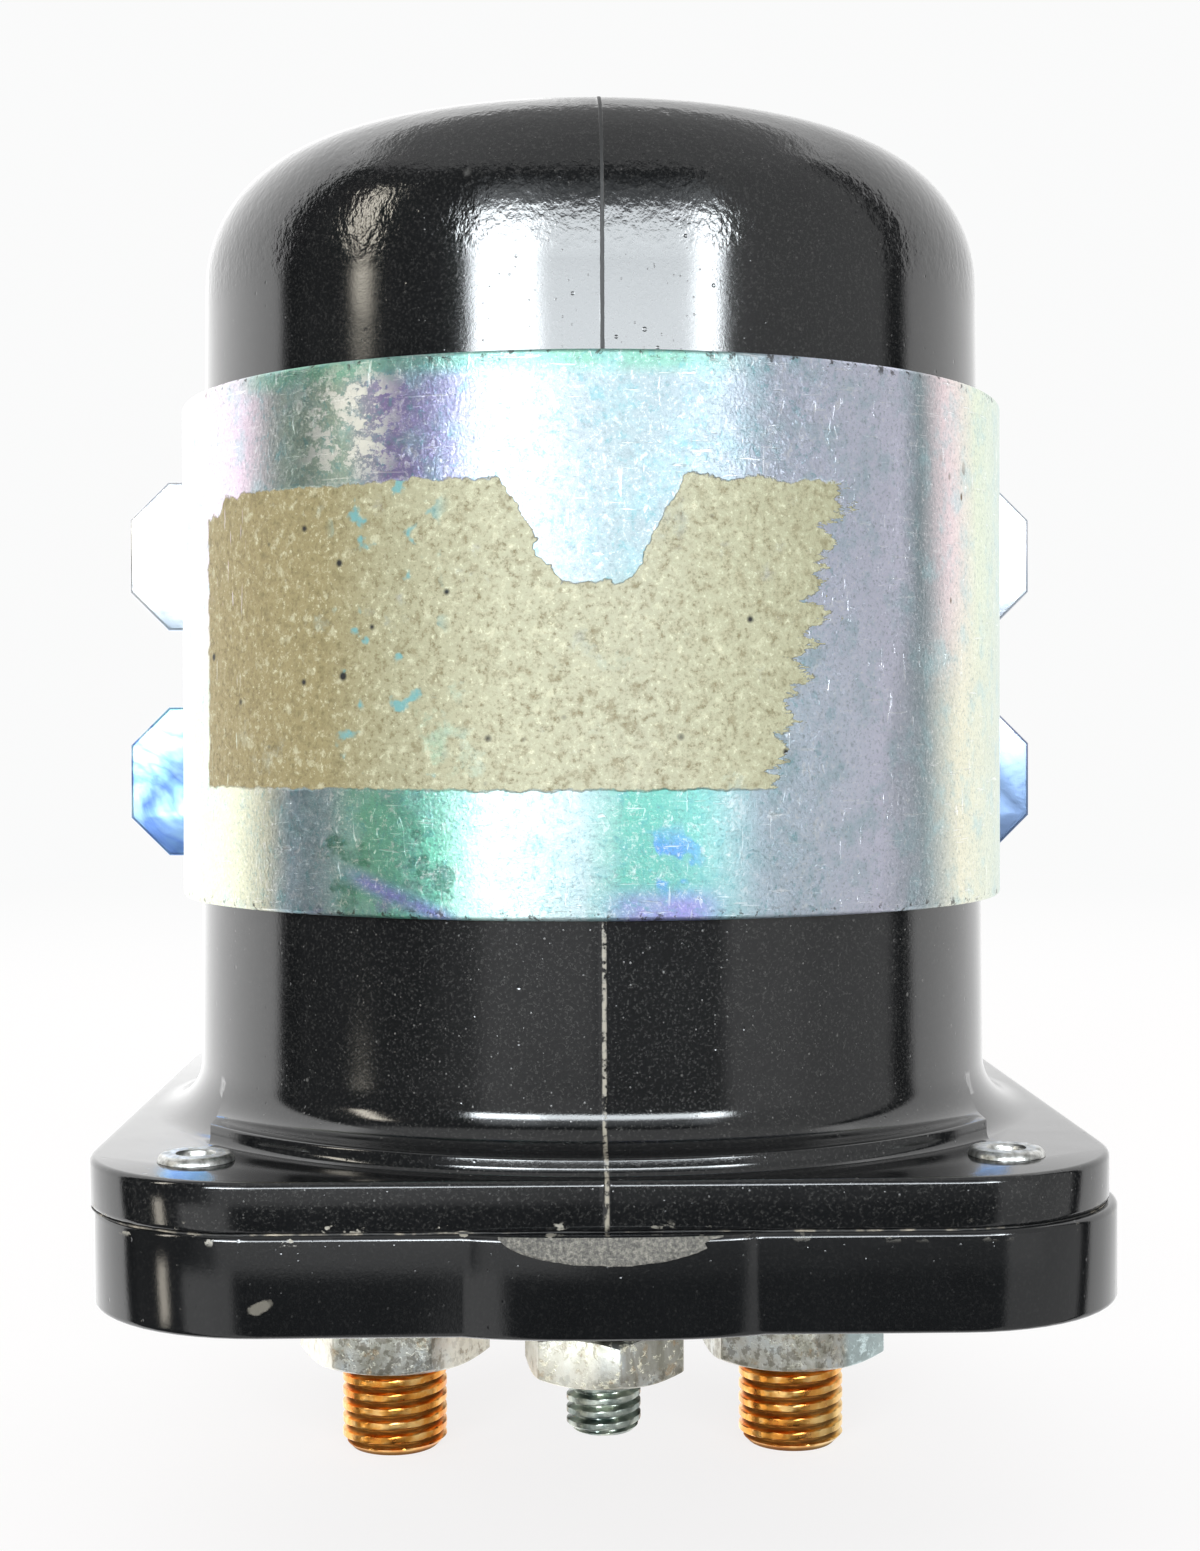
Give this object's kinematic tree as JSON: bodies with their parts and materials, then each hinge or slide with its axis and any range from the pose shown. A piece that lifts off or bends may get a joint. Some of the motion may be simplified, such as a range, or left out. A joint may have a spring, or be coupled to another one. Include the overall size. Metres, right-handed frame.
{
  "type": "power solenoid switch",
  "caption": "Moulded domed can with a strap bracket for panel mounting, and a square terminal base with threaded main and coil studs.",
  "frame": {"origin": "middle of the four panel holes, in the plane of the ears' back faces", "axes": "+Z along the can towards its dome, +Y into the panel, +X to the right seen from the front; the studs point to -Z"},
  "size_m": [0.0822, 0.0704, 0.0996],
  "materials": {
    "black_phenolic": "moulded, glossy, slightly speckled",
    "rivet_steel": "zinc plated, dull",
    "bright_zinc": "bright zinc with a clear iridescent passivation",
    "stud_copper": "copper, slightly tarnished",
    "nut_zinc": "zinc plated, stained",
    "stud_zinc": "zinc plated",
    "brass": "drawn",
    "lead_sleeve": "varnished sleeve",
    "magnet_steel": "machined, thinly plated",
    "spring_steel": "drawn wire",
    "brown_fibre": "laminated sheet, cut",
    "bobbin_nylon": "moulded",
    "coil_wire": "enamelled wire",
    "coil_tape": "polyester tape",
    "red_fibre": "vulcanised fibre",
    "rod_steel": "ground",
    "contact_copper": "lapped copper"
  },
  "bodies": {
    "case": {"housing": "black_phenolic", "terminal_base": "black_phenolic", "corner_rivets": "rivet_steel", "mounting_band": "bright_zinc", "mounting_plate": "bright_zinc", "bracket_welds": "bright_zinc", "main_stud_left": "stud_copper", "main_stud_right": "stud_copper", "main_lock_washers": "nut_zinc", "main_nuts": "nut_zinc", "coil_stud_front": "stud_zinc", "coil_stud_back": "stud_zinc", "coil_nuts": "nut_zinc", "coil_lugs": "brass", "coil_leads": "lead_sleeve", "flux_frame": "magnet_steel", "upper_end_plate": "magnet_steel", "lower_end_plate": "magnet_steel", "wave_washer": "spring_steel", "contact_barrel": "brown_fibre", "coil_bobbin": "bobbin_nylon", "coil_winding": "coil_wire", "coil_wrap": "coil_tape", "guide_tube": "brass", "fixed_core": "magnet_steel", "core_bush": "brass", "stop_washer": "red_fibre", "return_spring": "spring_steel"},
    "plunger": {"plunger": "magnet_steel", "push_rod": "rod_steel", "rod_clips": "spring_steel", "spring_seat": "rod_steel", "contact_spring": "spring_steel"},
    "contact": {"contact_hub": "brown_fibre", "contact_disc": "contact_copper", "contact_washer": "brown_fibre"}
  },
  "joints": [
    {"name": "plunger_travel", "type": "slide", "parent": "case", "child": "plunger", "axis": [0, 0, -1], "range_m": [0, 0.0032], "stiffness_N_per_m": 500, "springref_m": -0.012, "deforming": ["return_spring"]},
    {"name": "contact_overtravel", "type": "slide", "parent": "plunger", "child": "contact", "axis": [0, 0, 1], "range_m": [0, 0.0008], "deforming": ["contact_spring"]}
  ],
  "couplings": [
    {"joint": "contact_overtravel", "follows": "plunger_travel", "ratio": 0.25}
  ]
}
